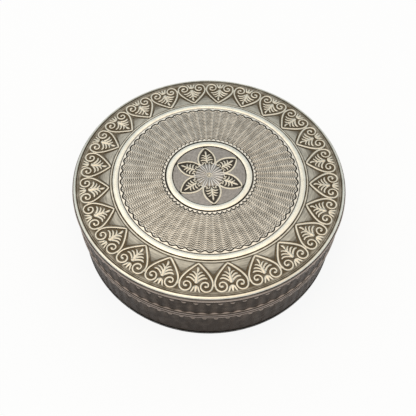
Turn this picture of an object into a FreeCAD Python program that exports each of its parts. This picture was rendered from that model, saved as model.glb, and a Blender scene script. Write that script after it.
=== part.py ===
import FreeCAD, Part
import os
import Sketcher

# A round silver box with a lift-off lid, built as a silversmith builds it from sheet and wire.
# Millimetres, +Z up, origin at the middle of the face that the box stands on.
# The base is a floor, a wall, a mouth wire and an inner collar. The lid is a mouth wire, a wall,
# a rim wire and a struck top plate, and slides up and down over the collar.

SIZES = {
    "box_diameter": 80.0,         # over the mouth wires and the rim wire
    "box_height": 23.7,           # from the table to the top of the lid's rim
    "seam_height": 12.9,          # where the lid meets the base
    "wall_thickness": 0.9,        # sheet of both walls
    "wire_overhang": 0.25,        # how far the wires stand out from the walls
    "floor_thickness": 1.2,
    "floor_bevel": 0.6,           # broken lower edge of the floor
    "base_wire_height": 1.0,
    "lid_wire_height": 1.3,
    "collar_thickness": 0.6,
    "collar_headroom": 3.3,       # between the collar's top and the plate over it
    "lid_clearance": 0.1,         # radial room between the collar and both walls
    "rim_wire_height": 1.5,
    "rim_wire_bevel": 0.5,        # broken upper corner of the rim wire
    "plate_setback": 0.45,        # plate's edge inside the box's outside
    "plate_edge_height": 0.4,     # plate's edge above the rim wire
    "register_depth": 0.6,        # step under the plate that centres it in the rim wire
    "register_clearance": 0.05,
    "rim_band_width": 0.8,        # plain bright band at the plate's edge
    "border_width": 10.5,         # sunk border that holds the hearts
    "border_sink": 0.3,
    "ring_width": 1.4,            # plain ring between the border and the engine-turned field
    "field_sink": 0.25,
    "inner_ring_width": 1.65,
    "medallion_radius": 10.95,
    "medallion_sink": 0.3,
    "relief_height": 0.25,        # hearts, palmettes and petals above their ground
    "heart_count": 24.0,
    "heart_gap": 0.3,             # between neighbouring hearts at their widest
    "heart_tip_gap": 0.9,         # between the ring and a heart's point
    "heart_tip_depth": 0.7,       # thickness of the stroke at the point
    "heart_stroke": 0.45,
    "heart_shoulder": 4.2,        # radius where a heart's straight side rounds into its scroll
    "heart_throat": 2.5,          # between the two scrolls of one heart
    "scroll_inset": 2.5,          # scroll centres inside the rim band
    "scroll_fall": 0.9,           # how much a scroll's radius falls from its start to its end
    "scroll_turn": 270.0,         # degrees that a scroll turns through
    "scroll_facets": 5.0,
    "palmette_foot_gap": 3.4,     # palmette's foot inside the rim band
    "palmette_top_gap": 1.35,     # palmette's top leaf behind the heart's point
    "leaf_pairs": 3.0,            # leaves each side of a palmette's stem
    "leaf_start": 1.8,            # lowest leaf's tip above the palmette's foot
    "leaf_pitch": 0.9,            # from one leaf's tip to the next along the stem
    "leaf_reach": 2.7,            # lowest leaf's tip from the stem's middle
    "leaf_taper": 0.65,           # how much less far each next leaf reaches
    "stem_half_width": 0.45,
    "petal_count": 6.0,
    "petal_turn": 28.3,           # petals' angle from the heart on the x axis
    "petal_tip_gap": 0.6,
    "petal_tip_depth": 0.6,
    "petal_stroke": 0.5,
    "petal_half_width": 2.8,
    "petal_widest_radius": 5.8,
    "petal_root_radius": 3.4,
    "petal_facets": 3.0,
}

doc = FreeCAD.newDocument("SilverBox")
sheet = doc.addObject("Spreadsheet::Sheet", "Sizes")
for row, (alias, size) in enumerate(SIZES.items(), start=1):
    sheet.set(f"A{row}", alias)
    sheet.set(f"B{row}", str(size))
    sheet.setAlias(f"B{row}", alias)
doc.recompute()

# Radii and heights that several pieces share, as expressions on the sheet.
outside = "(Sizes.box_diameter / 2)"
wall_outside = f"({outside} - Sizes.wire_overhang)"
wall_inside = f"({wall_outside} - Sizes.wall_thickness)"
collar_outside = f"({wall_inside} - Sizes.lid_clearance)"
collar_inside = f"({collar_outside} - Sizes.collar_thickness)"
base_wire_foot = "(Sizes.seam_height - Sizes.base_wire_height)"
lid_wire_top = "(Sizes.seam_height + Sizes.lid_wire_height)"
rim_wire_top = "(Sizes.box_height - Sizes.plate_edge_height)"
rim_wire_foot = f"({rim_wire_top} - Sizes.rim_wire_height)"
register_foot = f"({rim_wire_top} - Sizes.register_depth)"
collar_top = f"({register_foot} - Sizes.collar_headroom)"

# Circles and grounds of the top plate.
plate_edge = f"({outside} - Sizes.plate_setback)"
register_edge = f"({wall_inside} - Sizes.register_clearance)"
border_outside = f"({plate_edge} - Sizes.rim_band_width)"
border_inside = f"({border_outside} - Sizes.border_width)"
field_outside = f"({border_inside} - Sizes.ring_width)"
field_inside = "(Sizes.medallion_radius + Sizes.inner_ring_width)"
border_ground = "(Sizes.box_height - Sizes.border_sink)"
field_ground = "(Sizes.box_height - Sizes.field_sink)"
medallion_ground = "(Sizes.box_height - Sizes.medallion_sink)"


def value(expression):
    """The number that an expression on the sheet has now."""
    return float(sheet.evalExpression(expression))


def new_body(label):
    """An empty body that will become one sub-part."""
    body = doc.addObject("PartDesign::Body", label)
    body.Label = label
    return body


def new_sketch(body, name, plane, height=None):
    """A sketch on one of the body's own origin planes, raised by an expression if one is given."""
    sketch = body.newObject("Sketcher::SketchObject", name)
    support = [item for item in body.Origin.OriginFeatures if item.Role == plane][0]
    sketch.AttachmentSupport = [(support, "")]
    sketch.MapMode = "FlatFace"
    if height:
        sketch.setExpression("AttachmentOffset.Base.z", height)
    return sketch


def outline(sketch, corners):
    """A closed outline of straight edges through corners, each held by two expressions."""
    places = [FreeCAD.Vector(value(x), value(y), 0) for x, y in corners]
    edges = [Part.LineSegment(*ends) for ends in zip(places, places[1:] + places[:1])]
    numbers = list(sketch.addGeometry(edges, False))
    constraints = []
    bound = {}
    for number, follower in zip(numbers, numbers[1:] + numbers[:1]):
        constraints.append(Sketcher.Constraint("Coincident", number, 2, follower, 1))
    for number, place, corner in zip(numbers, places, corners):
        for kind, across, size, words in (
            ("DistanceX", -2, place.x, corner[0]),
            ("DistanceY", -1, place.y, corner[1]),
        ):
            if size > 0:
                bound[len(constraints)] = words
                constraints.append(Sketcher.Constraint(kind, -1, 1, number, 1, size))
            elif size < 0:
                bound[len(constraints)] = f"-({words})"
                constraints.append(Sketcher.Constraint(kind, number, 1, -1, 1, -size))
            else:
                constraints.append(Sketcher.Constraint("PointOnObject", number, 1, across))
    sketch.addConstraint(constraints)
    for index, words in bound.items():
        sketch.setExpression(f"Constraints[{index}]", words)


def mirrored(corners):
    """The same corners on the other side of the sketch's x axis."""
    return [(x, y if y == "0" else f"-({y})") for x, y in corners]


def turned(label, corners):
    """A turned piece: a closed profile of (radius, height) corners spun about the box's axis."""
    body = new_body(label)
    sketch = new_sketch(body, label + "_profile", "XZ_Plane")
    outline(sketch, corners)
    spin = body.newObject("PartDesign::Revolution", label + "_spin")
    spin.Profile = sketch
    spin.ReferenceAxis = (sketch, ["V_Axis"])
    spin.Angle = 360.0
    return body


def raised_around(body, sketch, name, count):
    """A relief that stands on the sketch's plane, and its copies about the box's axis."""
    pad = body.newObject("PartDesign::Pad", name)
    pad.Profile = sketch
    pad.setExpression("Length", "Sizes.relief_height")
    pattern = body.newObject("PartDesign::PolarPattern", name + "_copies")
    pattern.Originals = [pad]
    axis = [item for item in body.Origin.OriginFeatures if item.Role == "Z_Axis"][0]
    pattern.Axis = (axis, [""])
    pattern.Angle = 360.0
    pattern.setExpression("Occurrences", count)
    body.Tip = pattern


# Floor: a disc with its lower edge broken, on which the wall and the collar stand.
base_floor = turned("base_floor", [
    ("0", "0"),
    (f"{wall_outside} - Sizes.floor_bevel", "0"),
    (wall_outside, "Sizes.floor_bevel"),
    (wall_outside, "Sizes.floor_thickness"),
    ("0", "Sizes.floor_thickness"),
])

# Wall of the base: a band of sheet, engine-turned outside.
base_wall = turned("base_wall", [
    (wall_inside, "Sizes.floor_thickness"),
    (wall_outside, "Sizes.floor_thickness"),
    (wall_outside, base_wire_foot),
    (wall_inside, base_wire_foot),
])

# Flat wire round the mouth of the base, which the lid comes down on.
base_mouth_wire = turned("base_mouth_wire", [
    (wall_inside, base_wire_foot),
    (outside, base_wire_foot),
    (outside, "Sizes.seam_height"),
    (wall_inside, "Sizes.seam_height"),
])

# Inner collar: stands on the floor inside the wall and rises past the seam to guide the lid.
collar = turned("collar", [
    (collar_inside, "Sizes.floor_thickness"),
    (collar_outside, "Sizes.floor_thickness"),
    (collar_outside, collar_top),
    (collar_inside, collar_top),
])

# Flat wire round the mouth of the lid.
lid_mouth_wire = turned("lid_mouth_wire", [
    (wall_inside, "Sizes.seam_height"),
    (outside, "Sizes.seam_height"),
    (outside, lid_wire_top),
    (wall_inside, lid_wire_top),
])

# Wall of the lid: a second band of the same sheet.
lid_wall = turned("lid_wall", [
    (wall_inside, lid_wire_top),
    (wall_outside, lid_wire_top),
    (wall_outside, rim_wire_foot),
    (wall_inside, rim_wire_foot),
])

# Wire round the top of the lid, under the plate's edge, with its upper corner broken.
lid_rim_wire = turned("lid_rim_wire", [
    (wall_inside, rim_wire_foot),
    (outside, rim_wire_foot),
    (outside, f"{rim_wire_top} - Sizes.rim_wire_bevel"),
    (f"{outside} - Sizes.rim_wire_bevel", rim_wire_top),
    (wall_inside, rim_wire_top),
])

# Top plate: rim band, sunk border, plain ring, sunk field, inner ring and sunk medallion.
# Its edge lies on the rim wire and a step underneath centres it.
lid_plate = turned("lid_plate", [
    ("0", register_foot),
    (register_edge, register_foot),
    (register_edge, rim_wire_top),
    (plate_edge, rim_wire_top),
    (plate_edge, "Sizes.box_height"),
    (border_outside, "Sizes.box_height"),
    (border_outside, border_ground),
    (border_inside, border_ground),
    (border_inside, "Sizes.box_height"),
    (field_outside, "Sizes.box_height"),
    (field_outside, field_ground),
    (field_inside, field_ground),
    (field_inside, "Sizes.box_height"),
    ("Sizes.medallion_radius", "Sizes.box_height"),
    ("Sizes.medallion_radius", medallion_ground),
    ("0", medallion_ground),
])

# One heart of the border: a stroke with its point towards the middle of the lid and its two
# ends rolled into scrolls. A half's outer and inner edges run straight from the point to the
# shoulder, touch the shoulder's circle there, and follow the scroll. Sketch x is the radius.
scroll_centre = f"({border_outside} - Sizes.scroll_inset)"
heart_half_width = f"({scroll_centre} * tan(180 / Sizes.heart_count) - Sizes.heart_gap / 2)"
heart_point = f"({border_inside} + Sizes.heart_tip_gap)"
scroll_radius = f"(({heart_half_width} - Sizes.heart_throat / 2) / 2)"
scroll_middle = f"({heart_half_width} - {scroll_radius})"
shoulder_middle = f"({heart_half_width} - Sizes.heart_shoulder)"


def heart_edge(point, inset):
    """Corners of one edge of a half heart, from its point to the end of its scroll."""
    length = f"({scroll_centre} - {point})"
    radius = f"(Sizes.heart_shoulder - {inset})"
    reach = f"sqrt({length} ^ 2 + {shoulder_middle} ^ 2)"
    tilt = f"(atan({shoulder_middle} / {length}) + asin({radius} / {reach}))"
    run = f"sqrt({reach} ^ 2 - {radius} ^ 2)"
    corners = [(point, "0"), (f"{point} + {run} * cos({tilt})", f"{run} * sin({tilt})")]
    facets = int(value("Sizes.scroll_facets"))
    for step in range(facets + 1):
        turn = f"(Sizes.scroll_turn * {step} / {facets})"
        roll = f"({scroll_radius} - {inset} - Sizes.scroll_fall * {step} / {facets})"
        out = f"{scroll_centre} + {roll} * sin({turn})"
        aside = f"{scroll_middle} + {roll} * cos({turn})"
        corners.append((out, aside))
    return corners


heart_outer = heart_edge(heart_point, "0")
heart_inner = heart_edge(f"({heart_point} + Sizes.heart_tip_depth)", "Sizes.heart_stroke")
heart_sketch = new_sketch(lid_plate, "heart_outline", "XY_Plane", border_ground)
outline(
    heart_sketch,
    heart_outer + heart_inner[::-1] + mirrored(heart_inner[1:]) + mirrored(heart_outer[:0:-1]),
)
raised_around(lid_plate, heart_sketch, "heart", "Sizes.heart_count")

# Palmette inside each heart: a stem with a fan of leaves that shorten towards the heart's point.
palmette_foot = f"({border_outside} - Sizes.palmette_foot_gap)"
palmette_top = f"({heart_point} + Sizes.palmette_top_gap)"
leaf_corners = []
for pair in range(int(value("Sizes.leaf_pairs"))):
    tip = f"({palmette_foot} - Sizes.leaf_start - {pair} * Sizes.leaf_pitch)"
    leaf_corners.append((tip, f"Sizes.leaf_reach - {pair} * Sizes.leaf_taper"))
    leaf_corners.append((f"{tip} - Sizes.leaf_pitch / 2", "Sizes.stem_half_width"))
palmette_sketch = new_sketch(lid_plate, "palmette_outline", "XY_Plane", border_ground)
outline(
    palmette_sketch,
    [(palmette_foot, "0")] + leaf_corners + [(palmette_top, "0")] + mirrored(leaf_corners[::-1]),
)
raised_around(lid_plate, palmette_sketch, "palmette", "Sizes.heart_count")

# One petal of the rosette: a pointed oval stroke, open at its root. Each edge follows an arc
# that passes through the petal's point and its widest place.
petal_tip = "(Sizes.medallion_radius - Sizes.petal_tip_gap)"


def petal_edge(tip, half_width):
    """Corners of one edge of a half petal, from its root to its point."""
    length = f"({tip} - Sizes.petal_widest_radius)"
    sweep = f"(({length} ^ 2 + {half_width} ^ 2) / (2 * {half_width}))"
    facets = int(value("Sizes.petal_facets"))
    corners = []
    for step in range(facets):
        radius = f"(Sizes.petal_root_radius + ({tip} - Sizes.petal_root_radius) * {step} / {facets})"
        drop = f"({radius} - Sizes.petal_widest_radius)"
        corners.append((radius, f"sqrt({sweep} ^ 2 - {drop} ^ 2) - {sweep} + {half_width}"))
    return corners + [(tip, "0")]


petal_outer = petal_edge(petal_tip, "Sizes.petal_half_width")
petal_inner = petal_edge(
    f"({petal_tip} - Sizes.petal_tip_depth)", "(Sizes.petal_half_width - Sizes.petal_stroke)"
)
petal_sketch = new_sketch(lid_plate, "petal_outline", "XY_Plane", medallion_ground)
petal_sketch.setExpression("AttachmentOffset.Rotation.Angle", "Sizes.petal_turn")
outline(
    petal_sketch,
    petal_outer + mirrored(petal_outer[-2::-1]) + mirrored(petal_inner[:-1]) + petal_inner[::-1],
)
raised_around(lid_plate, petal_sketch, "petal", "Sizes.petal_count")

doc.recompute()

# Nothing is written unless every object is sound and every sub-part is one valid solid.
sub_parts = [
    base_floor, base_wall, base_mouth_wire, collar,
    lid_mouth_wire, lid_wall, lid_rim_wire, lid_plate,
]
for item in doc.Objects:
    if "Invalid" in item.State or "Error" in item.State:
        raise RuntimeError(f"{item.Name} failed: {item.State}")
for body in sub_parts:
    shape = body.Shape
    if shape.isNull() or not shape.isValid() or len(shape.Solids) != 1:
        raise RuntimeError(f"{body.Label} isn't one valid solid")

os.makedirs("parts", exist_ok=True)
for body in sub_parts:
    body.Shape.exportStep(f"parts/{body.Label}.step")
    box = body.Shape.BoundBox
    print(f"{body.Label}: {body.Shape.Volume:.1f} mm3, z {box.ZMin:.2f} to {box.ZMax:.2f}")
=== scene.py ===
import math

import bpy
from mathutils import Matrix, Vector


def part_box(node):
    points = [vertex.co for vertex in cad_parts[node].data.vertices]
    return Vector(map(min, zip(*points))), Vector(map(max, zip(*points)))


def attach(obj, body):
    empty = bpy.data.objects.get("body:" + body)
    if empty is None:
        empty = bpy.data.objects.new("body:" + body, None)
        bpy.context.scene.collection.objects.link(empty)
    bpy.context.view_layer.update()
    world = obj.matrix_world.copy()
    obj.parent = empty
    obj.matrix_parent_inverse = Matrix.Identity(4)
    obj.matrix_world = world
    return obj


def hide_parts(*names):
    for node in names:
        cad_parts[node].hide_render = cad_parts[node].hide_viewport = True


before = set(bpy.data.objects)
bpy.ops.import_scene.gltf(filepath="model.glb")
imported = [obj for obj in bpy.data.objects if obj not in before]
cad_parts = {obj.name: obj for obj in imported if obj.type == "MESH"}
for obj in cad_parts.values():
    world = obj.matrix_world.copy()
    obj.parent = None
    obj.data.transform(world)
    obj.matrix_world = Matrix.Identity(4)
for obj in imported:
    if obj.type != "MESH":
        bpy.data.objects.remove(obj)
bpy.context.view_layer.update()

# Base floor. A disc of plain silver sheet with its lower edge broken, soldered under the wall.
# It is satin inside from handling. Towards its edge, which shows at the foot of the wall, it is rougher
# and painted near black, as painted shade where the box stands on the floor.
MM = 0.001
PLAIN_BRIGHT = (0.72, 0.69, 0.62)
FOOT_EDGE_SHADE = (0.018, 0.014, 0.011)
ROUND_STEPS = 192
floor_low, floor_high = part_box("base_floor")
floor_edge = floor_high.x
floor_bevel = 0.2 * MM


def drawn_line(name, points):
    """A new object whose mesh is a line through (radius, height) points, extruded from one vertex."""
    bpy.ops.object.select_all(action="DESELECT")
    bpy.ops.mesh.primitive_plane_add(size=MM)
    piece = bpy.context.object
    piece.name = name
    piece.data.name = name
    bpy.ops.object.mode_set(mode="EDIT")
    bpy.ops.mesh.select_all(action="SELECT")
    bpy.ops.mesh.merge(type="CENTER")
    bpy.ops.transform.translate(value=(points[0][0], 0, points[0][1]))
    for start, end in zip(points, points[1:]):
        step = (end[0] - start[0], 0, end[1] - start[1])
        bpy.ops.mesh.extrude_region_move(TRANSFORM_OT_translate={"value": step})
    bpy.ops.mesh.select_all(action="SELECT")
    return piece


def closed_up(smooth_angle=40):
    """Merges what meets in the mesh being edited, turns its faces outwards and smooths it."""
    bpy.ops.mesh.select_all(action="SELECT")
    bpy.ops.mesh.remove_doubles(threshold=0.001 * MM)
    bpy.ops.mesh.normals_make_consistent(inside=False)
    bpy.ops.object.mode_set(mode="OBJECT")
    bpy.ops.object.shade_smooth_by_angle(angle=math.radians(smooth_angle))


def turned(name, profile, smooth_angle=40):
    """A piece turned on the box's axis from a profile of (radius, height) points in metres."""
    piece = drawn_line(name, profile)
    bpy.ops.mesh.spin(steps=ROUND_STEPS, angle=math.tau, center=(0, 0, 0), axis=(0, 0, 1))
    closed_up(smooth_angle)
    return piece


# Most pieces use this tone for tarnish and rubbing; the base floor's edge, the sides and the base wall's
# foot also use it for painted shade.
def toned_silver(
    name, recess, crest, low, high,
    measure="height", rough=(0.55, 0.32), stains=0.14, streaks=0.0, metal=0.9,
):
    """Silver that oxidation has darkened where it lies low and rubbing has kept bright where it stands out.

    low and high are the heights, or the radii, in metres, between which the tone changes. stains is how
    far small stains shift that tone, and streaks how much the colour varies in fine lines round the
    axis, as a lathe or a polishing wheel leaves them.
    """
    stain_scale = 420
    cloud_scale = 90
    grain_scale = 3800
    grain_depth = 0.02 * MM
    streak_across = 2200.0
    streak_along = 9.0
    streak_up = 1400.0
    material = bpy.data.materials.new(name)
    material.use_nodes = True
    nodes = material.node_tree.nodes
    links = material.node_tree.links
    shader = nodes["Principled BSDF"]
    place = nodes.new("ShaderNodeTexCoord").outputs["Object"]

    def noise(scale, detail, where=place):
        texture = nodes.new("ShaderNodeTexNoise")
        texture.inputs["Scale"].default_value = scale
        texture.inputs["Detail"].default_value = detail
        links.new(where, texture.inputs["Vector"])
        return texture.outputs["Fac"]

    def ranged(value, start, end, first, last, kind="LINEAR"):
        node = nodes.new("ShaderNodeMapRange")
        node.interpolation_type = kind
        for socket, number in zip(("From Min", "From Max", "To Min", "To Max"), (start, end, first, last)):
            node.inputs[socket].default_value = number
        links.new(value, node.inputs["Value"])
        return node.outputs["Result"]

    def maths(kind, first, second, clamp=False):
        node = nodes.new("ShaderNodeMath")
        node.operation = kind
        node.use_clamp = clamp
        links.new(first, node.inputs[0])
        if isinstance(second, float):
            node.inputs[1].default_value = second
        else:
            links.new(second, node.inputs[1])
        return node.outputs["Value"]

    split = nodes.new("ShaderNodeSeparateXYZ")
    links.new(place, split.inputs["Vector"])
    east, north, height = (split.outputs[axis] for axis in "XYZ")
    squares = maths("ADD", maths("MULTIPLY", east, east), maths("MULTIPLY", north, north))
    radius = maths("SQRT", squares, 0.0)
    level = radius if measure == "radius" else height

    stain = ranged(noise(stain_scale, 5), 0.3, 0.7, -stains, stains)
    wear_and_shade = maths("ADD", ranged(level, low, high, 0, 1, "SMOOTHSTEP"), stain, clamp=True)
    tone = nodes.new("ShaderNodeMix")
    tone.data_type = "RGBA"
    tone.inputs["A"].default_value = (*recess, 1)
    tone.inputs["B"].default_value = (*crest, 1)
    links.new(wear_and_shade, tone.inputs["Factor"])
    clouded = nodes.new("ShaderNodeVectorMath")
    clouded.operation = "SCALE"
    links.new(tone.outputs["Result"], clouded.inputs[0])
    cloud = ranged(noise(cloud_scale, 3), 0.3, 0.7, 0.92, 1.06)
    unrolled = nodes.new("ShaderNodeCombineXYZ")
    links.new(maths("MULTIPLY", radius, streak_across), unrolled.inputs["X"])
    links.new(maths("MULTIPLY", maths("ARCTAN2", north, east), streak_along), unrolled.inputs["Y"])
    links.new(maths("MULTIPLY", height, streak_up), unrolled.inputs["Z"])
    streak = noise(1, 4, unrolled.outputs["Vector"])
    cloud = maths("MULTIPLY", cloud, ranged(streak, 0.3, 0.7, 1 - streaks, 1 + streaks))
    links.new(cloud, clouded.inputs["Scale"])
    links.new(clouded.outputs["Vector"], shader.inputs["Base Color"])

    grain = noise(grain_scale, 3)
    sheen = maths("ADD", ranged(wear_and_shade, 0, 1, *rough), ranged(grain, 0.3, 0.7, -0.06, 0.06))
    links.new(sheen, shader.inputs["Roughness"])
    shader.inputs["Metallic"].default_value = metal

    bump = nodes.new("ShaderNodeBump")
    bump.inputs["Strength"].default_value = 0.25
    bump.inputs["Distance"].default_value = grain_depth
    links.new(maths("ADD", grain, streak), bump.inputs["Height"])
    links.new(bump.outputs["Normal"], shader.inputs["Normal"])
    return material


def fitted(piece, material, body, slot, *nodes):
    """Finishes a piece: its material, the body that it rides on and the solids that it stands for."""
    piece.data.materials.clear()
    piece.data.materials.append(material)
    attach(piece, body)
    if nodes:
        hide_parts(*nodes)


# Its colour runs to near black at the edge: painted shade where the box stands on the floor.
floor_silver = toned_silver(
    "floor_silver", PLAIN_BRIGHT, FOOT_EDGE_SHADE, floor_edge - 1.2 * MM, floor_edge - 0.2 * MM,
    measure="radius", rough=(0.36, 0.5), streaks=0.08,
)
base_floor = turned("base_floor_disc", [
    (0, floor_low.z),
    (floor_edge - 1.4 * floor_bevel, floor_low.z),
    (floor_edge - floor_bevel, floor_low.z + 0.1 * floor_bevel),
    (floor_edge - 0.2 * floor_bevel, floor_low.z + 0.6 * floor_bevel),
    (floor_edge, floor_low.z + 1.2 * floor_bevel),
    (floor_edge, floor_high.z),
    (0, floor_high.z),
])
fitted(base_floor, floor_silver, "base", "plain_silver", "base_floor")

# Base wall. A band of silver sheet bent round and soldered, then cut outside on a rose engine with
# level wavy lines, lobe by lobe, that leave a row of plain half moons at each edge. It is toned dark,
# with tarnish in the cuts, and painted far darker than the lid's top as a painted reflection of a dark
# room.
WALL_LOBES = 78
LOBE_COLUMNS = 8
TURNED_DARK = (0.030, 0.018, 0.010)
TURNED_WORN_AND_SHADED = (0.34, 0.265, 0.215)
wall_low, wall_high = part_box("base_wall")
wall_outside = wall_high.x
wall_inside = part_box("collar")[1].x + 0.1 * MM
line_pitch = 0.6 * MM
line_depth = 0.16 * MM
groove = 0.28 * MM
upper_wave = 0.40 * MM
lower_wave = 0.50 * MM
wave_bulge = 0.018 * MM
upper_room = 0.53 * MM
lower_room = 0.60 * MM
cut_edge = 0.12 * MM
moon_lean = 0.10 * MM
moon_swell = 0.175 * MM
tarnish_depth = 0.135 * MM
rubbed_height = 0.03 * MM


def lobed(name, profile, lobes, columns, shift, first=0.0):
    """A closed ring cut in lobes: one is turned, waved by shift, put at its first angle and copied round.

    shift moves a corner, given its angle in the lobe, from 0 at one end of the lobe to tau at the other.
    """
    piece = drawn_line(name, profile)
    lobe = math.tau / lobes
    bpy.ops.mesh.spin(steps=columns, angle=lobe, center=(0, 0, 0), axis=(0, 0, 1))
    bpy.ops.object.mode_set(mode="OBJECT")
    swing = Matrix.Rotation(first, 3, "Z")
    for corner in piece.data.vertices:
        corner.co = swing @ shift(corner.co, math.atan2(corner.co.y, corner.co.x) * lobes)
    bpy.ops.object.mode_set(mode="EDIT")
    bpy.ops.mesh.select_all(action="SELECT")
    bpy.ops.mesh.spin(
        steps=lobes - 1, dupli=True, angle=math.tau - lobe, center=(0, 0, 0), axis=(0, 0, 1)
    )
    closed_up(60)
    return piece


def engine_turned_wall(name, low, high, upper_groove, foot_sink, taper, first):
    """A wall between two heights: a groove and half moons at each edge, and wavy lines between them.

    The half moons lean back, as the cutter left them, and stand under the crests of the wave at the foot
    and over its troughs at the top. foot_sink is how far in those at the foot are sunk, taper how far
    in the wall's foot stands, and first the angle at which the lobes begin. As the tone follows the
    radius, foot_sink and taper also paint the wall darker at its foot, as painted shade.
    """
    cut_low = low + groove + lower_room
    cut_high = high - upper_groove - upper_room
    count = round((cut_high - cut_low) / line_pitch)
    pitch = (cut_high - cut_low) / count
    sunk = wall_outside - line_depth
    ridge = wall_outside - 0.5 * line_depth
    profile = [(wall_inside, low), (sunk, low), (sunk, low + 0.5 * groove)]
    profile.append((wall_outside + moon_lean - foot_sink, low + 0.8 * groove))
    profile.append((wall_outside - moon_lean, cut_low - cut_edge))
    for number in range(count):
        foot = cut_low + number * pitch
        profile.append((sunk, foot))
        profile.append((ridge, foot + 0.3 * pitch))
        profile.append((ridge, foot + 0.7 * pitch))
    profile += [(sunk, cut_high), (wall_outside - moon_lean, cut_high + cut_edge)]
    profile.append((wall_outside - moon_lean, high - upper_groove))
    profile += [(sunk, high - 0.7 * upper_groove), (sunk, high), (wall_inside, high), (wall_inside, low)]

    def shift(corner, turn):
        wave = -math.cos(turn)
        if math.hypot(corner.x, corner.y) > sunk - 0.1 * line_depth:
            narrowed = 1 - taper * ((high - corner.z) / (high - low)) ** 2 / wall_outside
            corner.x *= narrowed
            corner.y *= narrowed
        if cut_low - 1.1 * cut_edge < corner.z < cut_high + 1.1 * cut_edge:
            # The bulge draws each lobe in towards its ends, and as the tone follows the radius it paints
            # those ends darker than the lobe's middle: painted shade in columns round the wall.
            outwards = (wave - 1) * wave_bulge
            if corner.z > cut_high + 0.5 * cut_edge:
                outwards += moon_swell * max(0.0, -wave) ** 0.5
            share = (corner.z - cut_low) / (cut_high - cut_low)
            corner.z += wave * (lower_wave - share * (lower_wave - upper_wave))
            swell = 1 + outwards / wall_outside
            corner.x *= swell
            corner.y *= swell
        return corner

    return lobed(name, profile, WALL_LOBES, LOBE_COLUMNS, shift, first)


# Tarnish darkens the cuts and rubbing lightens the flats, and both colours are painted far darker than the
# lid's silver, as a painted reflection of a dark room round the sides.
turned_silver = toned_silver(
    "turned_silver", TURNED_DARK, TURNED_WORN_AND_SHADED, wall_outside - tarnish_depth, wall_outside + rubbed_height,
    measure="radius", rough=(0.5, 0.36), stains=0.09, streaks=0.2, metal=0.8,
)
# The foot's taper and its sunk half moons draw the wall in there, and as the tone follows the radius they
# paint the wall's foot darker: painted shade at the foot of the box.
base_taper = 0.10 * MM
base_foot_sink = 0.17 * MM
base_turn = math.radians(0.48)
base_wall = engine_turned_wall(
    "base_wall_turned", wall_low.z, wall_high.z, groove, base_foot_sink, base_taper, base_turn
)
fitted(base_wall, turned_silver, "base", "turned_silver", "base_wall")

# Base mouth wire. Plain drawn wire with a rounded face, soldered round the mouth of the base, where
# the lid comes down on it. Handling keeps it a little brighter than the wall, and like the wall it is
# painted dark as a painted reflection of a dark room.
WIRE_TARNISH_AND_SHADE = (0.035, 0.027, 0.022)
WIRE_RUBBED_AND_SHADED = (0.355, 0.285, 0.24)
FACE_STEPS = 8


def wire_ring(name, node, round_in):
    """A ring of wire in the place of a solid, its outer face a half oval round_in deep."""
    low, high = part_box(node)
    middle = (low.z + high.z) / 2
    half = (high.z - low.z) / 2
    profile = [(wall_inside, low.z)]
    for step in range(FACE_STEPS + 1):
        turn = math.pi * (step / FACE_STEPS - 0.5)
        profile.append((high.x - round_in * (1 - math.cos(turn)), middle + half * math.sin(turn)))
    profile += [(wall_inside, high.z), profile[0]]
    return turned(name, profile, 50)


# The wires are tarnished in their hollows and rubbed on their faces, and painted dark besides, as a painted
# reflection of a dark room round the sides.
wire_silver = toned_silver(
    "wire_silver", WIRE_TARNISH_AND_SHADE, WIRE_RUBBED_AND_SHADED, wall_outside + 0.06 * MM, wall_outside + 0.26 * MM,
    measure="radius", rough=(0.45, 0.3), streaks=0.08, metal=0.85,
)
base_wire_round = 0.65 * MM
base_mouth_wire = wire_ring("base_mouth_wire_ring", "base_mouth_wire", base_wire_round)
fitted(base_mouth_wire, wire_silver, "base", "wire_silver", "base_mouth_wire")

# Collar. A thin band of plain silver that stands on the floor inside the wall and rises past the
# seam to guide the lid. Its upper lip is rounded, and it is smoother and paler towards the lip and
# darker towards its foot.
PLAIN_DARKER = (0.30, 0.28, 0.24)
collar_low, collar_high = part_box("collar")
collar_thickness = 0.6 * MM
collar_inside = collar_high.x - collar_thickness
lip = 0.2 * MM
collar = turned("collar_band", [
    (collar_inside, collar_low.z),
    (collar_high.x, collar_low.z),
    (collar_high.x, collar_high.z - lip),
    (collar_high.x - 0.3 * lip, collar_high.z - 0.3 * lip),
    (collar_high.x - lip, collar_high.z),
    (collar_inside + lip, collar_high.z),
    (collar_inside + 0.3 * lip, collar_high.z - 0.3 * lip),
    (collar_inside, collar_high.z - lip),
    (collar_inside, collar_low.z),
])
collar_silver = toned_silver(
    "collar_silver", PLAIN_DARKER, PLAIN_BRIGHT, collar_low.z - 4 * MM, collar_high.z, rough=(0.45, 0.3)
)
fitted(collar, collar_silver, "base", "plain_silver", "collar")

# Lid mouth wire. The same drawn silver wire, a little taller, soldered round the mouth of the lid. It
# comes down on the base's wire, and the two show as a double line at the seam.
lid_wire_round = 0.75 * MM
lid_mouth_wire = wire_ring("lid_mouth_wire_ring", "lid_mouth_wire", lid_wire_round)
fitted(lid_mouth_wire, wire_silver, "lid", "wire_silver", "lid_mouth_wire")

# Lid wall. A second band of the same silver sheet, less tall than the base's, soldered between the
# lid's two wires. It is cut on the same engine, with a wider groove at its top, and stands upright.
lid_wall_low, lid_wall_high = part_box("lid_wall")
lid_groove = 0.65 * MM
lid_turn = math.radians(1.8)
lid_wall = engine_turned_wall(
    "lid_wall_turned", lid_wall_low.z, lid_wall_high.z, lid_groove, 0.0, 0.0, lid_turn
)
fitted(lid_wall, turned_silver, "lid", "turned_silver", "lid_wall")

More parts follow.
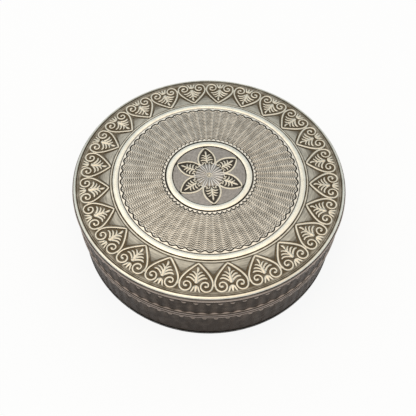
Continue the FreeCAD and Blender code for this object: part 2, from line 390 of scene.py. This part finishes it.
# Lid rim wire. A heavier half-round silver wire, soldered to the top of the lid's wall. It carries the
# top plate, and hands have rubbed its round face brighter than the wall; like the wall it is painted
# dark as a painted reflection of a dark room.
lid_rim_wire = wire_ring("lid_rim_wire_bead", "lid_rim_wire", lid_wire_round)
bead_silver = toned_silver(
    "bead_silver", WIRE_TARNISH_AND_SHADE, WIRE_RUBBED_AND_SHADED, wall_outside - 0.20 * MM, wall_outside + 0.20 * MM,
    measure="radius", rough=(0.45, 0.3), streaks=0.08, metal=0.85,
)
fitted(lid_rim_wire, bead_silver, "lid", "wire_silver", "lid_rim_wire")

# Lid plate. A disc struck in a die: a rolled rim, a sunk border, a plain ring, a bed for the
# engine-turned field, a second plain ring and a sunk medallion. The high rings stay bright.
BRIGHT_SILVER = (0.88, 0.84, 0.74)
SUNK_SILVER = (0.116, 0.088, 0.054)
plate_low, plate_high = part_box("lid_plate")
top = plate_high.z
plate_edge = plate_high.x
plate_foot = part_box("lid_rim_wire")[1].z
register_edge = wall_inside - 0.05 * MM
border_outside = 38.75 * MM
ring_outside = 28.25 * MM
ring_inside = 26.85 * MM
field_inside = 12.60 * MM
medallion_edge = 10.95 * MM
border_sink = 0.30 * MM
bed_sink = 0.46 * MM
ring_round = 0.08 * MM


def flat_ring(inner, outer, inner_foot, outer_foot):
    """Profile of a raised ring with softened corners, from its inner foot to its outer one."""
    return [
        (inner, inner_foot),
        (inner, top - ring_round),
        (inner + 0.3 * ring_round, top - 0.3 * ring_round),
        (inner + ring_round, top),
        (outer - ring_round, top),
        (outer - 0.3 * ring_round, top - 0.3 * ring_round),
        (outer, top - ring_round),
        (outer, outer_foot),
    ]


ground = top - border_sink
plate_profile = [(0, ground)]
plate_profile += flat_ring(medallion_edge, field_inside, ground, top - bed_sink)
plate_profile += flat_ring(ring_inside, ring_outside, top - bed_sink, ground)
plate_profile += [
    (ring_outside + 0.12 * MM, ground + 0.03 * MM),
    (ring_outside + 0.28 * MM, ground + 0.03 * MM),
    (ring_outside + 0.38 * MM, ground + 0.16 * MM),
    (ring_outside + 0.70 * MM, ground + 0.16 * MM),
    (ring_outside + 0.80 * MM, ground + 0.04 * MM),
    (ring_outside + 0.92 * MM, ground),
    (border_outside - 1.60 * MM, ground),
    (border_outside - 1.00 * MM, ground + 0.08 * MM),
    (border_outside - 0.60 * MM, ground + 0.08 * MM),
    (border_outside - 0.54 * MM, ground),
    (border_outside - 0.45 * MM, ground + 0.09 * MM),
    (border_outside - 0.25 * MM, ground + 0.09 * MM),
    (border_outside - 0.15 * MM, ground),
    (border_outside, ground),
    (border_outside, plate_foot),
    (register_edge, plate_foot),
    (register_edge, plate_low.z),
    (0, plate_low.z),
]
lid_plate = turned("lid_plate_struck", plate_profile)
ring_silver = toned_silver(
    "ring_silver", SUNK_SILVER, BRIGHT_SILVER, ground + 0.01 * MM, top - 0.04 * MM,
    rough=(0.55, 0.34), streaks=0.05,
)
fitted(lid_plate, ring_silver, "lid", "struck_silver", "lid_plate")

# Lid plate's rim. The edge of the same plate, rolled up and over. Hands have polished its outer slope,
# while its inner slope has kept some of the border's tone.
RIM_DULL = (0.20, 0.185, 0.15)
rim_heights = (-0.24, -0.06, 0.00, -0.02, -0.045, -0.07, -0.095, -0.125, -0.165, -0.32)
rim_step = (plate_edge - border_outside) / (len(rim_heights) - 1)
rim_profile = [(border_outside, plate_foot)]
for number, height in enumerate(rim_heights):
    rim_profile.append((border_outside + number * rim_step, top + height * MM))
rim_profile += [(plate_edge, plate_foot), (border_outside, plate_foot)]
lid_rim = turned("lid_plate_rim", rim_profile, 60)
rim_silver = toned_silver(
    "rim_silver", RIM_DULL, BRIGHT_SILVER, border_outside + 0.06 * MM, border_outside + 0.40 * MM,
    measure="radius", rough=(0.5, 0.32), streaks=0.05,
)
fitted(lid_rim, rim_silver, "lid", "struck_silver")

# Field. Sixty lobes of a fine basket weave, engine-turned in step between the two plain rings, with a
# plain scalloped edge at both sides whose points are left bright.
FIELD_LOBES = 60
LOBE_POINT = 0.2
GRAINS = 3
GRAIN_COLUMNS = 4
FIELD_DARK = (0.040, 0.034, 0.026)
FIELD_BRIGHT = (0.82, 0.77, 0.69)
first_line = 14.05 * MM
last_line = 25.30 * MM
weave_rows = 76
weave_pitch = 2 * (last_line - first_line) / weave_rows
weave_middle = -0.115 * MM
weave_height = 0.11 * MM
field_wave = 0.27 * MM
between_lobes = -0.9
lobe_lift = 0.02 * MM
waved_from = 13.4 * MM
waved_to = 26.1 * MM
field_rows = [
    (12.60, -0.45), (12.60, -0.36), (13.00, -0.36), (13.08, -0.10), (13.14, 0.00), (13.18, 0.00),
    (13.48, 0.00), (13.52, 0.00), (13.58, -0.10), (13.65, -0.22), (13.80, -0.22), (13.92, -0.12),
]
for number in range(weave_rows + 1):
    field_rows.append(((first_line + number * weave_pitch / 2) / MM, weave_middle / MM))
field_rows += [
    (25.42, -0.08), (25.53, -0.07), (25.62, -0.18), (25.68, -0.30),
    (25.89, -0.30), (25.97, -0.12), (26.04, 0.00), (26.08, 0.00), (26.40, 0.00), (26.44, 0.00),
    (26.49, -0.10), (26.54, -0.22), (26.62, -0.22), (26.68, -0.10), (26.74, -0.03), (26.85, -0.03),
    (26.85, -0.45), (12.60, -0.45),
]


def scallop(turn):
    """Height of a rose engine's wave over one lobe: round in the middle and pointed at its ends."""
    return -math.cos(turn) - LOBE_POINT * math.cos(2 * turn)


def field_shift(corner, turn):
    """Moves a waved row in or out and raises the grains of the weave; the cutter lifts between lobes."""
    wave = scallop(turn)
    radius = math.hypot(corner.x, corner.y)
    if waved_from < radius < waved_to:
        if first_line - 0.01 * MM < radius < last_line + 0.01 * MM:
            across = math.cos(turn * GRAINS)
            grain = across * math.cos(math.tau * (radius - first_line) / (2 * weave_pitch))
            lift = lobe_lift if wave < between_lobes else 0.0
            corner.z = min(top, top + weave_middle + weave_height * grain + lift)
        scale = 1 + wave * field_wave / radius
        corner.x *= scale
        corner.y *= scale
    return corner


field = lobed(
    "lid_field_engine_turned", [(radius * MM, top + height * MM) for radius, height in field_rows],
    FIELD_LOBES, GRAIN_COLUMNS * GRAINS, field_shift,
)
field_silver = toned_silver(
    "field_silver", FIELD_DARK, FIELD_BRIGHT, top - 0.168 * MM, top - 0.038 * MM, rough=(0.5, 0.34)
)
fitted(field, field_silver, "lid", "struck_silver")

# Border grounds. The three-cornered grounds between the hearts stand a little higher than the sunk
# ground round the strokes, so polishing has reached them and left them grey, most of all at the ring.
HEARTS = 24
GROUND_DARK = (0.085, 0.068, 0.046)
GROUND_GREY = (0.42, 0.40, 0.35)
half_pitch = math.pi / HEARTS
corner_radius = 29.22
corner_angle = math.radians(6.1)
ARC_STEPS = 8


def around(count, first=0.0):
    """Copies the mesh being edited round the box's axis, after turning it to its first place."""
    bpy.ops.mesh.select_all(action="SELECT")
    if first:
        bpy.ops.mesh.spin(steps=1, dupli=True, angle=-first, center=(0, 0, 0), axis=(0, 0, 1))
        bpy.ops.mesh.select_all(action="INVERT")
        bpy.ops.mesh.delete(type="VERT")
        bpy.ops.mesh.select_all(action="SELECT")
    bpy.ops.mesh.spin(
        steps=count - 1, dupli=True, angle=math.tau * (count - 1) / count, center=(0, 0, 0), axis=(0, 0, 1)
    )


def raised_ground(name, outline, foot, height, slope, count, first):
    """Low plates with sloping sides round the axis, from a clockwise outline of (radius, aside) points."""
    bpy.ops.object.select_all(action="DESELECT")
    mesh = bpy.data.meshes.new(name)
    corners = [(radius * MM, aside * MM, foot) for radius, aside in reversed(outline)]
    mesh.from_pydata(corners, [], [range(len(corners))])
    piece = bpy.data.objects.new(name, mesh)
    bpy.context.collection.objects.link(piece)
    bpy.context.view_layer.objects.active = piece
    piece.select_set(True)
    bpy.ops.object.mode_set(mode="EDIT")
    bpy.ops.mesh.select_all(action="SELECT")
    bpy.ops.mesh.extrude_region_move(TRANSFORM_OT_translate={"value": (0, 0, 0.5 * height)})
    bpy.ops.mesh.inset(thickness=slope, depth=0.5 * height)
    around(count, first)
    closed_up(30)
    return piece


corner_arc = []
for step in range(ARC_STEPS + 1):
    turn = corner_angle * (2 * step / ARC_STEPS - 1)
    corner_arc.append((corner_radius * math.cos(turn), corner_radius * math.sin(turn)))
side_curve = [(29.65, 2.58), (30.25, 1.98), (31.1, 1.26), (32.0, 0.60), (32.6, 0.22), (32.9, 0.06)]
other_side = [(radius, -aside) for radius, aside in reversed(side_curve)]
grounds = raised_ground(
    "border_grounds", corner_arc + side_curve + other_side, ground - 0.03 * MM, 0.15 * MM, 0.1 * MM,
    HEARTS, half_pitch,
)
ground_silver = toned_silver(
    "ground_silver", GROUND_GREY, GROUND_DARK, 29.8 * MM, 33.4 * MM,
    measure="radius", rough=(0.42, 0.55), streaks=0.3,
)
fitted(grounds, ground_silver, "lid", "struck_silver")

# Border hearts. Raised strokes that run from a point at the ring down both sides and roll up into
# two scrolls at the rim. Their rubbed tops are pale and their feet are dark.
STROKE_FOOT = (0.070, 0.054, 0.034)
STROKE_TOP = (0.74, 0.68, 0.57)
FOOT_SPREAD = 1.25
CROWN_FULLNESS = 1.35
SCROLL_STEPS = 10
relief = 0.30 * MM
root_depth = 0.05 * MM
scroll_middle = (35.92, 2.68)
scroll_start = math.radians(20)
scroll_sweep = math.radians(315)
scroll_radius = 1.62
scroll_fall = 0.36
scroll_curl = 0.68


def strokes_around(name, strokes, count, first, foot, height):
    """Raised strokes round the axis, each a smooth line of (radius, aside, half width) points."""
    bpy.ops.object.select_all(action="DESELECT")
    curve = bpy.data.curves.new(name, "CURVE")
    curve.dimensions = "3D"
    curve.twist_mode = "Z_UP"
    curve.bevel_depth = FOOT_SPREAD * MM
    curve.bevel_resolution = 2
    curve.resolution_u = 3
    curve.use_fill_caps = True
    for points in strokes:
        spline = curve.splines.new("BEZIER")
        spline.bezier_points.add(len(points) - 1)
        for point, (radius, aside, half_width) in zip(spline.bezier_points, points):
            point.co = (radius * MM, aside * MM, 0)
            point.radius = half_width
            point.handle_left_type = "AUTO"
            point.handle_right_type = "AUTO"
    piece = bpy.data.objects.new(name, curve)
    bpy.context.collection.objects.link(piece)
    bpy.context.view_layer.objects.active = piece
    piece.select_set(True)
    bpy.ops.object.convert(target="MESH")
    piece = bpy.context.object
    for corner in piece.data.vertices:
        rise = corner.co.z
        if rise > 0:
            corner.co.z = foot + height * math.tanh(CROWN_FULLNESS * rise / height)
        else:
            corner.co.z = foot - root_depth
    bpy.ops.object.mode_set(mode="EDIT")
    around(count, first)
    bpy.ops.mesh.normals_make_consistent(inside=False)
    bpy.ops.object.mode_set(mode="OBJECT")
    bpy.ops.object.shade_smooth_by_angle(angle=math.radians(60))
    return piece


def both_sides(strokes):
    """The strokes and their mirror images on the other side of the motif's middle line."""
    return strokes + [[(radius, -aside, width) for radius, aside, width in points] for points in strokes]


heart_stroke = [
    (29.42, -0.12, 0.20), (29.80, 0.46, 0.27), (30.72, 1.42, 0.26), (31.62, 2.30, 0.26),
    (32.52, 3.08, 0.26), (33.42, 3.72, 0.26), (34.10, 4.08, 0.25), (34.70, 4.28, 0.24),
    (35.30, 4.35, 0.24), (35.90, 4.30, 0.24),
]
for step in range(SCROLL_STEPS + 1):
    share = step / SCROLL_STEPS
    turn = scroll_start + scroll_sweep * share
    roll = scroll_radius - scroll_fall * share - scroll_curl * share ** 4
    out = scroll_middle[0] + roll * math.sin(turn)
    aside = scroll_middle[1] + roll * math.cos(turn)
    heart_stroke.append((out, aside, 0.24 - 0.02 * share))
heart_stroke += [(35.98, 3.10, 0.20), (36.10, 2.80, 0.28), (35.98, 2.46, 0.36), (35.78, 2.34, 0.14)]
tie = [(34.75, 4.50, 0.06), (35.05, 4.60, 0.12), (35.60, 4.67, 0.12), (35.85, 4.70, 0.06)]
hearts = strokes_around(
    "border_hearts", both_sides([heart_stroke, tie]), HEARTS, 0.0, ground, relief
)
stroke_silver = toned_silver(
    "stroke_silver", STROKE_FOOT, STROKE_TOP, ground + 0.01 * MM, ground + 0.21 * MM, rough=(0.55, 0.42)
)
fitted(hearts, stroke_silver, "lid", "struck_silver")

# Border palmettes. Inside each heart a stem swells into a bulb at its foot and carries three pairs
# of curling leaves and one upright leaf; a small calyx below joins it to the rim.
leaves = both_sides([
    [(35.00, 0.25, 0.14), (34.58, 0.55, 0.27), (34.06, 1.12, 0.27), (33.72, 1.72, 0.26),
     (33.62, 2.25, 0.25), (33.74, 2.66, 0.20), (33.84, 2.86, 0.08)],
    [(34.20, 0.20, 0.12), (33.58, 0.52, 0.25), (33.10, 1.00, 0.25), (32.82, 1.52, 0.24),
     (32.82, 1.95, 0.19), (32.90, 2.16, 0.08)],
    [(33.30, 0.12, 0.10), (32.64, 0.36, 0.23), (32.16, 0.76, 0.22), (31.96, 1.12, 0.19),
     (32.02, 1.46, 0.08)],
    [(35.98, 0.30, 0.14), (36.36, 0.56, 0.26), (36.90, 0.76, 0.26), (37.50, 1.06, 0.24),
     (37.80, 1.28, 0.12)],
])
stems = [
    [(35.36, 0, 0.20), (35.15, 0, 0.48), (34.65, 0, 0.56), (34.00, 0, 0.48),
     (33.40, 0, 0.36), (32.80, 0, 0.28), (32.30, 0, 0.22), (32.05, 0, 0.10)],
    [(32.20, 0, 0.14), (31.80, 0.10, 0.26), (31.30, 0.16, 0.32), (30.85, 0.02, 0.30),
     (30.52, -0.22, 0.10)],
    [(35.83, 0, 0.15), (36.02, 0, 0.44), (36.35, 0, 0.48), (36.90, 0, 0.32),
     (37.45, 0, 0.28), (37.78, 0, 0.16)],
]
palmettes = strokes_around("border_palmettes", leaves + stems, HEARTS, 0.0, ground, relief)
fitted(palmettes, stroke_silver, "lid", "struck_silver")

# Medallion floor. The bottom of the sunk medallion, part of the same struck plate. It shows inside the
# petals, where polishing never reaches, so the silver there has stayed nearly black.
PETAL_DARK = (0.075, 0.066, 0.056)
PETAL_SHADE = (0.060, 0.052, 0.044)
shade_silver = toned_silver(
    "shade_silver", PETAL_DARK, PETAL_SHADE, 4 * MM, 10 * MM, measure="radius", rough=(0.55, 0.55)
)
medallion_floor = turned("medallion_floor", [
    (0, ground + 0.01 * MM),
    (medallion_edge - 0.05 * MM, ground + 0.01 * MM),
    (medallion_edge - 0.05 * MM, ground - root_depth),
    (0, ground - root_depth),
])
fitted(medallion_floor, shade_silver, "lid", "struck_silver")

# Rosette petals. Six pointed petals struck round the middle of the medallion, each a raised outline
# with a small palmette inside. Their rubbed tops are as pale as the strokes of the border.
PETALS = 6
petal_turn = math.radians(28.3)
petal_outline = [
    (3.60, 1.90, 0.12), (4.30, 2.30, 0.25), (5.30, 2.52, 0.28), (6.20, 2.52, 0.28),
    (7.20, 2.29, 0.28), (8.12, 1.90, 0.28), (9.02, 1.30, 0.27), (9.70, 0.76, 0.26),
    (10.12, 0.25, 0.23), (10.25, -0.05, 0.12),
]
petal_leaves = [
    [(3.95, 1.98, 0.12), (4.10, 1.55, 0.19), (4.40, 1.22, 0.20), (4.80, 1.30, 0.19), (4.86, 1.62, 0.10)],
    [(4.10, 0.42, 0.12), (4.45, 0.52, 0.19), (4.80, 0.78, 0.18), (4.82, 1.05, 0.09)],
    [(5.10, 0.10, 0.12), (5.45, 0.42, 0.22), (5.70, 0.98, 0.23), (5.66, 1.55, 0.21), (5.46, 1.92, 0.09)],
    [(5.85, 0.10, 0.12), (6.25, 0.42, 0.22), (6.58, 0.95, 0.22), (6.62, 1.45, 0.18), (6.50, 1.74, 0.08)],
    [(6.65, 0.08, 0.11), (7.08, 0.36, 0.21), (7.44, 0.76, 0.20), (7.56, 1.12, 0.16), (7.50, 1.36, 0.07)],
]
petal_stems = [
    [(4.45, 0, 0.10), (4.80, 0, 0.26), (5.50, 0, 0.32), (6.50, 0, 0.30), (7.40, 0, 0.25), (8.00, 0, 0.27),
     (8.45, 0, 0.28), (8.85, 0, 0.20), (9.15, 0, 0.08)],
]
petals = strokes_around(
    "rosette_petals", both_sides([petal_outline] + petal_leaves) + petal_stems, PETALS, petal_turn,
    ground, relief,
)
fitted(petals, stroke_silver, "lid", "struck_silver")

# Rosette rays. A fan of short raised rays on a low disc in the middle of the rosette, struck with the
# plate. The rays run out to the petals and have greyer tops.
RAY_TOP = (0.66, 0.63, 0.60)
disc_top = ground + 0.08 * MM
ray_height = 0.17 * MM
ray_lines = [
    [(0.90, 0.13, 0.08), (1.60, 0.22, 0.13), (2.40, 0.34, 0.18), (3.30, 0.45, 0.22),
     (4.10, 0.54, 0.14)],
    [(0.80, 0.36, 0.08), (1.50, 0.66, 0.13), (2.20, 0.98, 0.17), (3.00, 1.36, 0.20),
     (3.70, 1.78, 0.20), (4.30, 2.14, 0.12)],
]
rays = strokes_around("rosette_rays", both_sides(ray_lines), PETALS, petal_turn, disc_top, ray_height)
ray_silver = toned_silver(
    "ray_silver", STROKE_FOOT, RAY_TOP, ground - 0.02 * MM, ground + 0.22 * MM, rough=(0.5, 0.36)
)
fitted(rays, ray_silver, "lid", "struck_silver")

# Rosette disc. The low disc that the rays stand on, part of the same struck plate, with a sloping edge.
# It is toned like the feet of the rays.
disc_edge = 4.15 * MM
disc_slope = 0.30 * MM
ray_disc = turned("rosette_disc", [
    (0, disc_top),
    (disc_edge - disc_slope, disc_top),
    (disc_edge, ground + 0.02 * MM),
    (disc_edge, ground - root_depth),
    (0, ground - root_depth),
])
fitted(ray_disc, ray_silver, "lid", "struck_silver")

# Rosette bead. A small round bead with a rolled ring about it, struck in the middle of the rays and so
# of the whole lid. Wear has kept its top bright.
bead_points = [
    (0.0, 0.29), (0.20, 0.28), (0.36, 0.22), (0.44, 0.10), (0.52, 0.08), (0.60, 0.10), (0.68, 0.17),
    (0.78, 0.19), (0.88, 0.16), (0.96, 0.06), (0.96, -0.05), (0.0, -0.05),
]
bead = turned("rosette_bead", [(radius * MM, ground + height * MM) for radius, height in bead_points], 60)
fitted(bead, stroke_silver, "lid", "struck_silver")

# Medallion grounds. The six grounds between the petals and the plain ring stand a little above the
# medallion's floor, in the same plate, so polishing has reached them and left them grey.
MEDALLION_GREY = (0.31, 0.29, 0.275)
arc_radius = 10.74
arc_angle = math.radians(27.5)
petal_side = (
    (5.50, 0.0), (5.97, 2.3), (6.80, 5.8), (7.57, 10.1),
    (8.34, 14.7), (9.11, 19.9), (9.66, 22.8), (10.20, 26.6),
)
between_outline = []
for radius, degrees in petal_side:
    turn = math.radians(degrees)
    between_outline.append((radius * math.cos(turn), radius * math.sin(turn)))
outer_arc = []
for step in range(ARC_STEPS + 1):
    turn = arc_angle * (1 - 2 * step / ARC_STEPS)
    outer_arc.append((arc_radius * math.cos(turn), arc_radius * math.sin(turn)))
mirror_half = [(radius, -aside) for radius, aside in between_outline[:0:-1]]
between = raised_ground(
    "rosette_grounds", between_outline + outer_arc + mirror_half, ground - 0.03 * MM, 0.18 * MM, 0.1 * MM,
    PETALS, petal_turn + math.pi / PETALS,
)
medallion_silver = toned_silver(
    "medallion_silver", GROUND_DARK, MEDALLION_GREY, ground - 0.01 * MM, ground + 0.12 * MM,
    rough=(0.55, 0.42), streaks=0.22,
)
fitted(between, medallion_silver, "lid", "struck_silver")

# Camera. It stands two box widths off, in front of the box and a little to its left, and looks down on
# the lid. Its lens is given in pixels of the square frame.
FRAME_PIXELS = 416
FOCAL_PIXELS = 551.95
camera_elevation = math.radians(52.875)
camera_distance = 162.37 * MM
camera_turn = math.radians(-10.54)
camera_pan = math.radians(0.055)
camera_tilt = math.radians(-3.461)
camera_roll = math.radians(1.374)
camera_data = bpy.data.cameras.new("camera")
camera_data.sensor_width = 36
camera_data.lens = FOCAL_PIXELS * camera_data.sensor_width / FRAME_PIXELS
camera_data.clip_start = 0.01
camera = bpy.data.objects.new("camera", camera_data)
bpy.context.collection.objects.link(camera)
stand = Vector((0, -math.cos(camera_elevation), math.sin(camera_elevation))) * camera_distance
swing = Matrix.Rotation(camera_turn, 4, "Z")
aim = swing @ Matrix.Rotation(math.pi / 2 - camera_elevation, 4, "X") @ Matrix.Rotation(camera_pan, 4, "Y")
aim = aim @ Matrix.Rotation(camera_tilt, 4, "X") @ Matrix.Rotation(camera_roll, 4, "Z")
camera.matrix_world = Matrix.Translation(swing @ stand + Vector((0, 0, top))) @ aim
bpy.context.scene.camera = camera

# Floor. A wide sheet of pale paper under the box. It is nearly white to the camera and in the silver,
# and the share of it that is lit keeps the box's soft shadow.
FLOOR_PALE = (0.93, 0.93, 0.93)
FLOOR_GLOW = 0.88
floor_radius = 3.0
bpy.ops.object.select_all(action="DESELECT")
bpy.ops.mesh.primitive_circle_add(vertices=64, radius=floor_radius, fill_type="NGON")
floor = bpy.context.object
floor.name = "floor"
floor_material = bpy.data.materials.new("floor_paper")
floor_material.use_nodes = True
floor_nodes = floor_material.node_tree.nodes
floor_links = floor_material.node_tree.links
floor_shader = floor_nodes["Principled BSDF"]
floor_shader.inputs["Base Color"].default_value = (*FLOOR_PALE, 1)
floor_shader.inputs["Roughness"].default_value = 0.9
floor_shader.inputs["Specular IOR Level"].default_value = 0.0
floor_glow = floor_nodes.new("ShaderNodeEmission")
floor_glow.inputs["Strength"].default_value = 1.0
floor_rays = floor_nodes.new("ShaderNodeLightPath")
floor_seen = floor_rays.outputs["Is Camera Ray"]
for kind in ("Is Glossy Ray", "Is Transmission Ray"):
    floor_either = floor_nodes.new("ShaderNodeMath")
    floor_either.operation = "MAXIMUM"
    floor_links.new(floor_seen, floor_either.inputs[0])
    floor_links.new(floor_rays.outputs[kind], floor_either.inputs[1])
    floor_seen = floor_either.outputs["Value"]
floor_share = floor_nodes.new("ShaderNodeMath")
floor_share.operation = "MULTIPLY"
floor_share.inputs[1].default_value = FLOOR_GLOW
floor_links.new(floor_seen, floor_share.inputs[0])
floor_mix = floor_nodes.new("ShaderNodeMixShader")
floor_links.new(floor_share.outputs["Value"], floor_mix.inputs["Fac"])
floor_links.new(floor_shader.outputs["BSDF"], floor_mix.inputs[1])
floor_links.new(floor_glow.outputs["Emission"], floor_mix.inputs[2])
floor_links.new(floor_mix.outputs["Shader"], floor_nodes["Material Output"].inputs["Surface"])
floor.data.materials.append(floor_material)

# Light. A soft room, dim at the horizon, cool half way up and warm overhead, and one large soft panel
# of warm light over the box. Both stay at a level at which a colour renders about as it is written.
ROOM_COLOURS = (
    (0.00, (0.34, 0.36, 0.36)),
    (0.70, (0.77, 0.88, 0.945)),
    (0.80, (0.90, 0.92, 0.89)),
    (0.91, (1.13, 0.945, 0.745)),
)
ROOM_STRENGTH = 0.97
PANEL_WARM = (1.0, 0.93, 0.80)
PANEL_ENERGY = 0.75
panel_side = 0.5
panel_place = Vector((-0.09, 0.10, 0.62))
world = bpy.data.worlds.new("soft_room")
bpy.context.scene.world = world
world.use_nodes = True
room_nodes = world.node_tree.nodes
room_links = world.node_tree.links
direction = room_nodes.new("ShaderNodeTexCoord").outputs["Generated"]
height_split = room_nodes.new("ShaderNodeSeparateXYZ")
room_links.new(direction, height_split.inputs["Vector"])
room_ramp = room_nodes.new("ShaderNodeValToRGB")
room_links.new(height_split.outputs["Z"], room_ramp.inputs["Fac"])
room_stops = room_ramp.color_ramp.elements
room_stops.remove(room_stops[1])
for number, (height, colour) in enumerate(ROOM_COLOURS):
    stop = room_stops.new(height) if number else room_stops[0]
    stop.color = (*colour, 1)
room_links.new(room_ramp.outputs["Color"], room_nodes["Background"].inputs["Color"])
room_nodes["Background"].inputs["Strength"].default_value = ROOM_STRENGTH

panel_data = bpy.data.lights.new("panel", "AREA")
panel_data.shape = "RECTANGLE"
panel_data.size = panel_side
panel_data.size_y = panel_side
panel_data.energy = PANEL_ENERGY
panel_data.color = PANEL_WARM
panel = bpy.data.objects.new("panel", panel_data)
bpy.context.collection.objects.link(panel)
panel.location = panel_place
panel.rotation_euler = (-panel_place).to_track_quat("-Z", "Y").to_euler()

bpy.context.scene.view_settings.view_transform = "Standard"
